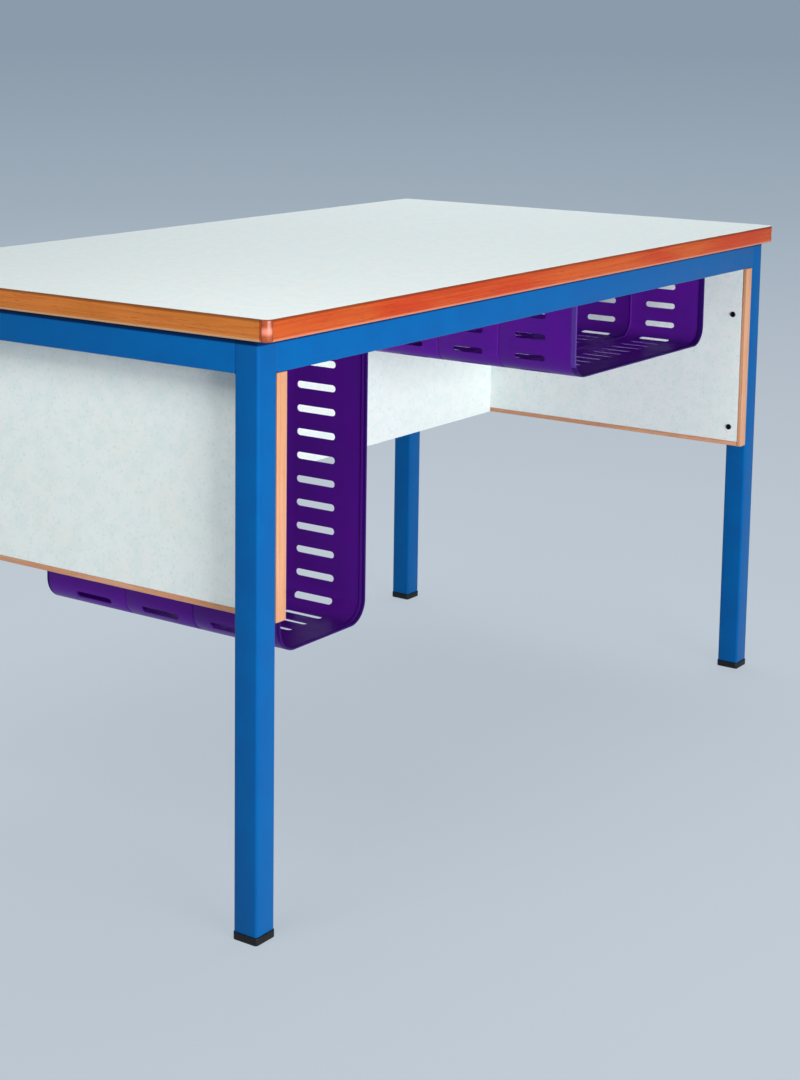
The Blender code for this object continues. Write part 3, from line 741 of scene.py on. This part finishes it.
def addCap(name, node):
    # a cap with a rounded sole and a plug that goes up into the tube
    low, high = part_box(node)
    centre, size = (low + high) / 2, high - low
    profile = edgeProfile(low.z, low.z + footCap["rimHeight"], footCap["lowerRound"], footCap["upperRound"])
    profile += [(footCap["plugInset"], low.z + footCap["rimHeight"]), (footCap["plugInset"], high.z)]
    rings = sectionRings(size.x, size.y, footCap["radius"], profile, footCap["steps"])
    placed = [[(centre.x + x, centre.y + y, z) for x, y, z in ring] for ring in rings]
    addPiece(name, loft(name, placed), "cap", "foot_cap", node)


for end in ("left", "right"):
    for face in ("front", "back"):
        addCap("cap" + face.title() + end.title(), "foot_cap_%s_%s" % (face, end))
print("foot caps done")


# Panels

panels = {
    "round": 0.0010, "steps": 3,
    # each strip's edge of the board, the axis that it runs along and its finish
    "strips": (("front", "z", "uprightStrip"), ("back", "z", "uprightStrip"), ("bottom", "y", "levelStrip")),
    "softened": {
        "side_panel_left": "board", "side_panel_right": "board", "modesty_panel": "board",
        "modesty_angle_left": "zinc", "modesty_angle_right": "zinc",
    },
    "arris": {"width": 0.0004, "segments": 2, "limit_method": "ANGLE", "angle_limit": math.radians(40)},
}


def addStrips(end):
    # wood strips with their arrises taken off
    for edge, axis, finishName in panels["strips"]:
        name = "strip" + end.title() + edge.title()
        node = "side_panel_%s_strip_%s" % (end, edge)
        mesh = barMesh(name, node, axis, panels["round"], panels["round"] / 2, panels["steps"])
        addPiece(name, mesh, finishName, "panel_strip", node)


def softenNode(node, finishName):
    # the node keeps its mesh; modifiers join its corners and take the sharpness off its edges
    coatNode(node, finishName)
    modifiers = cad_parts[node].modifiers
    tune(modifiers.new("weld", "WELD"), {"merge_threshold": meshRules["speck"]})
    tune(modifiers.new("arris", "BEVEL"), panels["arris"])


addStrips("left")
addStrips("right")
for node, finishName in panels["softened"].items():
    softenNode(node, finishName)
print("panels done")


# Screws

largeScrew = {"head": 0.0045, "rise": 0.0025, "shank": 0.0025, "finish": "blackScrew", "slot": "black_screw"}
smallScrew = {"head": 0.0035, "rise": 0.0022, "shank": 0.0018, "finish": "zinc", "slot": "zinc"}

screws = {
    "panel_screw": largeScrew,
    "angle_screw": smallScrew,
    "rail_screw": smallScrew,
    "tall_locker_screw": smallScrew,
    "shallow_locker_screw": smallScrew,
}

screwShape = {
    "sides": 28, "domeSteps": 5, "domeShare": 0.75, "tipShare": 0.3,
    # the recess: its arms' reach and half width as shares of the head, its depth as a share of the rise
    "armReach": 0.62, "armHalf": 0.2, "depthShare": 0.62,
    "mouthShare": 1.1, "mouthHeight": 0.001, "floorShare": 0.6,
}


def screwMesh(kind, length):
    # a domed head with a cross recess, crown at the origin and shank along +z
    look = screws[kind]
    shape = screwShape
    head, rise, shank = look["head"], look["rise"], look["shank"]
    dome = rise * shape["domeShare"]
    turns = quarterTurn(shape["domeSteps"])[1:]
    profile = [(head * math.sin(turn), dome * (1 - math.cos(turn))) for turn in turns]
    profile += [(head, rise), (shank, rise), (shank, length - shank), (shank * shape["tipShare"], length)]
    angles = [math.tau * step / shape["sides"] for step in range(shape["sides"])]
    rings = [[(radius * math.cos(a), radius * math.sin(a), z) for a in angles] for radius, z in profile]
    solid = addThing(kind, loft(kind, rings))
    cross = crossMesh(head * shape["armReach"], head * shape["armHalf"], rise * shape["depthShare"])
    recess = addThing(kind + "Recess", cross)
    cut = {"operation": "DIFFERENCE", "object": recess, "solver": "EXACT"}
    tune(solid.modifiers.new("recess", "BOOLEAN"), cut)
    graph = bpy.context.evaluated_depsgraph_get()
    mesh = bpy.data.meshes.new_from_object(solid.evaluated_get(graph))
    bpy.data.objects.remove(solid)
    bpy.data.objects.remove(recess)
    mesh.materials.clear()
    return mesh


def crossMesh(reach, half, depth):
    # a tapering cross that cuts the driver's recess
    outline = []
    for turn in range(4):
        spin = Matrix.Rotation(-turn * math.pi / 2, 3, "Z")
        outline += [spin @ Vector(point) for point in ((half, half, 0), (reach, half, 0), (reach, -half, 0))]
    levels = ((screwShape["mouthShare"], -screwShape["mouthHeight"]), (screwShape["floorShare"], depth))
    return loft("crossRecess", [[(p.x * share, p.y * share, z) for p in outline] for share, z in levels])


def screwDirection(name):
    # the way a screw points, from its head to its tip
    if name.startswith("angle_screw_panel"):
        return (0, -1, 0)
    if name.startswith(("panel_screw", "angle_screw_board")):
        return (-1, 0, 0) if "left" in name else (1, 0, 0)
    return (0, 0, 1)


def addScrews():
    meshes = {}
    for node in sorted(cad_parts):
        kind = next((found for found in screws if node.startswith(found)), None)
        if kind is None:
            continue
        low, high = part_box(node)
        way = Vector(screwDirection(node))
        length = max(high - low)
        if kind not in meshes:
            meshes[kind] = screwMesh(kind, length)
        piece = addPiece("turned_" + node, meshes[kind], screws[kind]["finish"], screws[kind]["slot"], node)
        piece.location = (low + high) / 2 - way * length / 2
        piece.rotation_euler = way.to_track_quat("Z", "Y").to_euler()


addScrews()
print("screws done")


# Lockers

sheetMetal = {
    "thickness": 0.0015, "bend": 0.030, "bendSteps": 14,
    "flange": 0.020, "flangeBend": 0.0025, "flangeSteps": 5,
    "hemWidth": 0.008, "hemThickness": 0.0027, "hemStep": 0.0004, "noseSteps": 5,
    "beadWidth": 0.0050, "beadHeight": 0.0012, "beadSteps": 8,
    "slotWidth": 0.009, "slotSteps": 8, "slotTopMargin": 0.050, "slotColumns": 3,
    "plateSeam": 0.0003, "plateRound": 0.0003, "cutPrecision": 1e-7,
}

# each locker gives how deep the painted shade on its hem reaches, and whether its left hem has a painted
# highlight
lockers = {
    "tall_locker": {
        "piece": "tallLocker", "inwardLeft": True, "highlitLeftHem": False, "darkHem": 0.0045,
        "slotLength": 0.060, "slotStart": 0.049, "pitch": 0.0305,
    },
    "shallow_locker": {
        "piece": "shallowLocker", "inwardLeft": False, "highlitLeftHem": True, "darkHem": 0.008,
        "slotLength": 0.052, "slotStart": 0.051, "pitch": 0.0312,
    },
}


def filleted(corners, radii, steps):
    # a run of points through the corners, each turned with its radius
    points = [Vector(corners[0])]
    for i, (radius, count) in enumerate(zip(radii, steps), 1):
        corner = Vector(corners[i])
        back = (Vector(corners[i - 1]) - corner).normalized()
        ahead = (Vector(corners[i + 1]) - corner).normalized()
        centre = corner + (back + ahead) * radius
        for angle in quarterTurn(count):
            points.append(centre - ahead * radius * math.cos(angle) - back * radius * math.sin(angle))
    points.append(Vector(corners[-1]))
    return points


class SheetPath:
    # the outer line of a folded sheet in x and z, read by distance along it

    def __init__(self, points):
        self.points = points
        self.marks = [0.0]
        sides = []
        for near, far in zip(points[:-1], points[1:]):
            self.marks.append(self.marks[-1] + (far - near).length)
            run = (far - near).normalized()
            sides.append(Vector((-run.y, run.x)))
        self.normals = [sides[0]]
        for near, far in zip(sides[:-1], sides[1:]):
            self.normals.append((near + far) / (1 + near.dot(far)))
        self.normals.append(sides[-1])

    def at(self, mark):
        # the point and the inward direction at a distance along the line
        i = 0
        while i < len(self.marks) - 2 and self.marks[i + 1] < mark:
            i += 1
        share = (mark - self.marks[i]) / (self.marks[i + 1] - self.marks[i])
        point = self.points[i].lerp(self.points[i + 1], share)
        return point, self.normals[i].lerp(self.normals[i + 1], share)


def lockerShape(node, look):
    # the sheet's line and the places that follow from it
    low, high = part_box(node)
    metal = sheetMetal
    top, flat = high.z, metal["thickness"]
    left = low.x if look["inwardLeft"] else low.x + metal["flange"]
    right = high.x - metal["flange"]
    if look["inwardLeft"]:
        corners = [(left + metal["flange"], top), (left, top)]
    else:
        corners = [(left - metal["flange"], top - flat), (left, top - flat)]
    corners += [(left, low.z), (right, low.z), (right, top - flat), (right + metal["flange"], top - flat)]
    # the sheet's line lies outside of a flange that turns in and inside of one that turns out
    wide, tight = metal["flangeBend"], metal["flangeBend"] - flat
    radii = [wide if look["inwardLeft"] else tight, metal["bend"], metal["bend"], tight]
    steps = [metal["flangeSteps"], metal["bendSteps"], metal["bendSteps"], metal["flangeSteps"]]
    return SheetPath(filleted(corners, radii, steps)), left, right, low, high


def slotSpots(path, left, right, low, high, look):
    # each slot's middle as a distance along the sheet and a depth
    metal = sheetMetal
    bend = metal["bend"]
    reach = (right - left - 2 * bend + bend * math.pi) / 2 + high.z - low.z - bend
    rows = int((reach - metal["slotTopMargin"]) / look["pitch"])
    steps = [row * look["pitch"] for row in range(rows + 1)]
    steps += [-step for step in steps if step > 0]
    # the flat bottom runs between the ends of the two large bends
    i = metal["flangeSteps"] + metal["bendSteps"] + 2
    middle = (path.marks[i] + path.marks[i + 1]) / 2
    depth = high.y - low.y
    gap = (depth - 2 * look["slotStart"] - look["slotLength"]) / (metal["slotColumns"] - 1)
    first = look["slotStart"] + look["slotLength"] / 2
    columns = [first + column * gap for column in range(metal["slotColumns"])]
    return [(middle + step, column) for step in steps for column in columns], columns, gap


def slotRing(mark, depth, length):
    # a slot's outline in the flat, long in depth and with round ends
    radius = sheetMetal["slotWidth"] / 2
    reach = length / 2 - radius
    steps = sheetMetal["slotSteps"]
    return (arcPoints(mark, depth + reach, radius, 0, 180, steps)
            + arcPoints(mark, depth - reach, radius, 180, 360, steps))


def depthLines(depth, beads, darkHem):
    # the depths at which the sheet's section changes
    metal = sheetMetal
    nose = metal["hemThickness"] / 2
    lines = [nose * (1 - math.cos(turn)) for turn in quarterTurn(metal["noseSteps"])]
    lines += [darkHem, metal["hemWidth"], metal["hemWidth"] + metal["hemStep"]]
    lines += [depth - line for line in lines]
    for bead in beads:
        half = metal["beadWidth"] / 2
        lines += [bead - half + metal["beadWidth"] * step / metal["beadSteps"]
                  for step in range(metal["beadSteps"] + 1)]
    return sorted(lines)


def skinOffsets(depth, place, beads, hem):
    # how far the outer and the inner skin lie inside the sheet's line at a depth; hem says how much of the
    # hem's and the beads' shape counts here
    metal = sheetMetal
    thick = metal["thickness"]
    edge = min(place, depth - place)
    nose = metal["hemThickness"] / 2
    step = clamp((metal["hemWidth"] + metal["hemStep"] - edge) / metal["hemStep"])
    thick += (metal["hemThickness"] - thick) * step * hem
    shrink = 0.0
    if edge < nose:
        across = (nose - edge) / nose
        shrink = thick / 2 * (1 - math.sqrt(max(0.0, 1 - across * across)))
    bead = 0.0
    for middle in beads:
        away = abs(place - middle) / (metal["beadWidth"] / 2)
        if away < 1:
            bead = metal["beadHeight"] * math.cos(away * math.pi / 2) ** 2 * hem
    return shrink + bead, thick - shrink + bead


def flatPattern(path, hemMarks, depth, beads, slots, look):
    # triangles of the flat sheet with its slots cut out; every bend line and depth line is an edge
    points, edges = [], []

    def line(start, end):
        edges.append((len(points), len(points) + 1))
        points.extend((Vector(start), Vector(end)))

    for mark in path.marks:
        line((mark, 0), (mark, depth))
    for place in depthLines(depth, beads, look["darkHem"]):
        line((0, place), (path.marks[-1], place))
    for mark in hemMarks:
        line((mark, 0), (mark, depth))
    for mark, place in slots:
        ring = slotRing(mark, place, look["slotLength"])
        first = len(points)
        points.extend(Vector(point) for point in ring)
        edges.extend((first + i, first + (i + 1) % len(ring)) for i in range(len(ring)))
    flat, _, faces, *_ = delaunay_2d_cdt(points, edges, [], 0, sheetMetal["cutPrecision"], False)
    radius = sheetMetal["slotWidth"] / 2
    straight = look["slotLength"] / 2 - radius

    def inSlot(spot):
        return any(math.hypot(spot.x - mark, max(abs(spot.y - place) - straight, 0.0))
                   < radius - meshRules["hair"] for mark, place in slots)

    middles = [sum((flat[i] for i in face), Vector((0, 0))) / len(face) for face in faces]
    return flat, [face for face, middle in zip(faces, middles) if not inSlot(middle)]


def addLocker(node):
    look = lockers[node]
    metal = sheetMetal
    path, left, right, low, high = lockerShape(node, look)
    slots, columns, gap = slotSpots(path, left, right, low, high, look)
    beads = [column + gap / 2 for column in columns[:-1]]
    depth = high.y - low.y
    # the hem and the beads stop below the flanges
    first = metal["flange"] + metal["hemWidth"]
    last = path.marks[-1] - metal["flange"] - metal["hemWidth"]
    hemMarks = [first, first + metal["hemStep"], last - metal["hemStep"], last]
    flat, faces = flatPattern(path, hemMarks, depth, beads, slots, look)

    work = bmesh.new()
    outer, inner = [], []
    for mark, place in flat:
        point, inward = path.at(mark)
        hem = clamp((mark - first) / metal["hemStep"]) * clamp((last - mark) / metal["hemStep"])
        skin, lining = skinOffsets(depth, place, beads, hem)
        for row, offset in ((outer, skin), (inner, lining)):
            spot = point + inward * offset
            row.append(work.verts.new((spot.x, low.y + place, spot.y)))
    counts = {}
    for face in faces:
        work.faces.new([outer[i] for i in face])
        work.faces.new([inner[i] for i in reversed(face)])
        for i, j in zip(face, face[1:] + face[:1]):
            counts.setdefault(frozenset((i, j)), []).append((i, j))
    for pairs in counts.values():
        if len(pairs) == 1:
            i, j = pairs[0]
            work.faces.new((outer[j], outer[i], inner[i], inner[j]))
    bmesh.ops.dissolve_degenerate(work, edges=work.edges, dist=meshRules["speck"])
    mesh = meshFrom(look["piece"], work)
    coat(mesh, "locker", "lockerHemShade", "highlitHem")
    # the hem faces get a painted shade
    for face in mesh.polygons:
        place = face.center.y - low.y
        onHem = min(place, depth - place) < look["darkHem"] and face.center.z < high.z - metal["flange"]
        # the shallow locker's left hem gets a painted highlight instead
        highlit = onHem and look["highlitLeftHem"] and face.center.x < left + metal["hemThickness"]
        face.material_index = 2 if highlit else 1 if onHem else 0
    addPiece(look["piece"], mesh, "locker", "locker", node)


def addBackPlate(name, node):
    # a plate whose lower corners follow the sheet's bends
    low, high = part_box(node)
    radius = sheetMetal["bend"] - sheetMetal["thickness"] - sheetMetal["plateSeam"]
    edge = sheetMetal["plateRound"]
    rings = []
    for inset, y in edgeProfile(low.y, high.y, edge, edge, meshRules["endSteps"]):
        bend = radius - inset
        ring = [(high.x - inset, high.z - inset), (low.x + inset, high.z - inset)]
        ring += arcPoints(low.x + radius, low.z + radius, bend, 180, 270, sheetMetal["bendSteps"])
        ring += arcPoints(high.x - radius, low.z + radius, bend, 270, 360, sheetMetal["bendSteps"])
        rings.append([(x, y, z) for x, z in ring])
    addPiece(name, loft(name, rings), "locker", "locker", node)


for node in lockers:
    addLocker(node)
    addBackPlate(lockers[node]["piece"] + "Back", node + "_back")
print("lockers done")


# Stage: floor, light and camera

stage = {
    "floor": tone(204, 214, 223), "floorRoughness": 0.9, "floorRadius": 60.0, "floorSides": 96,
    # a plain colour takes this share of the floor near the desk, and all of it past the reach
    "litReach": (1.0, 3.2), "plainShare": 0.8,
    # the distance that counts as half way to the horizon
    "halfway": 8.0,
    "distance": (
        # share of the way to the horizon, colour
        (0.11, tone(190, 201, 211)),
        (0.25, tone(184, 194, 205)),
        (0.52, tone(159, 173, 187)),
        (0.72, tone(147, 162, 177)),
        (0.88, tone(139, 155, 171)),
    ),
    "skyLight": (0.97, 0.985, 1.0, 1.0), "skyStrength": 0.205,
    "lamps": (
        # name, place, aim, width, height, power
        ("frontLamp", (-1.5, -4.0, 0.85), (0.2, 0.0, 0.55), 2.4, 1.4, 162),
        ("topLamp", (1.3, 0.4, 2.9), (0.75, 0.1, 0.7), 2.4, 2.0, 53),
        ("leftLamp", (-2.6, -0.2, 2.9), (-0.6, 0.0, 0.6), 1.6, 1.6, 44),
    ),
}


def seenRays(web):
    # 1 for what the camera, a reflection or a transmission sees, 0 for what lights the object
    kinds = ("Camera", "Glossy", "Transmission")
    camera, glossy, through = (web.add("ShaderNodeLightPath", output="Is %s Ray" % kind) for kind in kinds)
    return web.maths("MINIMUM", camera + glossy + through, 1.0)


def addFloor():
    # partly lit near the desk, so that it takes a soft shadow, and plain further out
    mesh = bpy.data.meshes.new("floor")
    work = bmesh.new()
    bmesh.ops.create_circle(work, cap_ends=True, segments=stage["floorSides"], radius=stage["floorRadius"])
    work.to_mesh(mesh)
    work.free()
    floor = addThing("floor", mesh)
    made = bpy.data.materials.new("paleFloor")
    made.use_nodes = True
    web = Web(made.node_tree)
    web.tree.nodes.clear()
    place = web.add("ShaderNodeTexCoord", output="Object")
    away = web.length(place)
    share = away / (away + stage["halfway"])
    haze = web.add("ShaderNodeValToRGB", {"stops": stage["distance"]}, {"Fac": share})
    values = {"Base Color": stage["floor"], "Roughness": stage["floorRoughness"]}
    lit = web.add("ShaderNodeBsdfPrincipled", {}, values)
    plain = web.add("ShaderNodeEmission", {}, {"Color": haze, "Strength": 1.0})
    far = web.fade(away, *stage["litReach"], stage["plainShare"]) * seenRays(web)
    mixed = web.add("ShaderNodeMixShader", {}, {0: far, 1: lit, 2: plain})
    web.add("ShaderNodeOutputMaterial", {}, {"Surface": mixed})
    mesh.materials.append(made)


def addWorld():
    # soft light from all round, and the floor's far colour behind the object
    world = bpy.data.worlds.new("studio")
    scene.world = world
    world.use_nodes = True
    web = Web(world.node_tree)
    web.tree.nodes.clear()
    sky = {"Color": stage["skyLight"], "Strength": stage["skyStrength"]}
    light = web.add("ShaderNodeBackground", {}, sky)
    backdrop = web.add("ShaderNodeBackground", {}, {"Color": stage["distance"][-1][1], "Strength": 1.0})
    mixed = web.add("ShaderNodeMixShader", {}, {0: seenRays(web), 1: light, 2: backdrop})
    web.add("ShaderNodeOutputWorld", {}, {"Surface": mixed})


def addLamps():
    for name, place, aim, width, height, power in stage["lamps"]:
        light = bpy.data.lights.new(name, "AREA")
        tune(light, {"shape": "RECTANGLE", "size": width, "size_y": height, "energy": power})
        lamp = addThing(name, light)
        lamp.location = place
        lamp.rotation_euler = (Vector(aim) - Vector(place)).to_track_quat("-Z", "Y").to_euler()


cameraView = {
    "place": (-2.46266, -1.76089, 1.09283), "yaw": 0.94346, "pitch": 0.15214, "roll": 0.00967,
    "lens": {
        "lens": 68.402, "sensor_width": 36, "shift_x": 0.0556, "shift_y": -0.1991,
        "clip_start": 0.05, "clip_end": 200,
    },
}


def addCamera():
    # yaw is counted from +Y towards +X, pitch downwards
    yaw, pitch, roll = cameraView["yaw"], cameraView["pitch"], cameraView["roll"]
    ahead = Vector((math.sin(yaw) * math.cos(pitch), math.cos(yaw) * math.cos(pitch), -math.sin(pitch)))
    level = Vector((math.cos(yaw), -math.sin(yaw), 0))
    upward = level.cross(ahead)
    right = level * math.cos(roll) + upward * math.sin(roll)
    up = upward * math.cos(roll) - level * math.sin(roll)
    lens = bpy.data.cameras.new("photoView")
    tune(lens, cameraView["lens"])
    camera = addThing("photoView", lens)
    turn = Matrix((right, up, -ahead)).transposed().to_4x4()
    camera.matrix_world = Matrix.Translation(cameraView["place"]) @ turn
    scene.camera = camera


addFloor()
addWorld()
addLamps()
addCamera()
scene.view_settings.view_transform = "Standard"
print("stage done")


# Bring the scene up to date

bpy.context.view_layer.update()
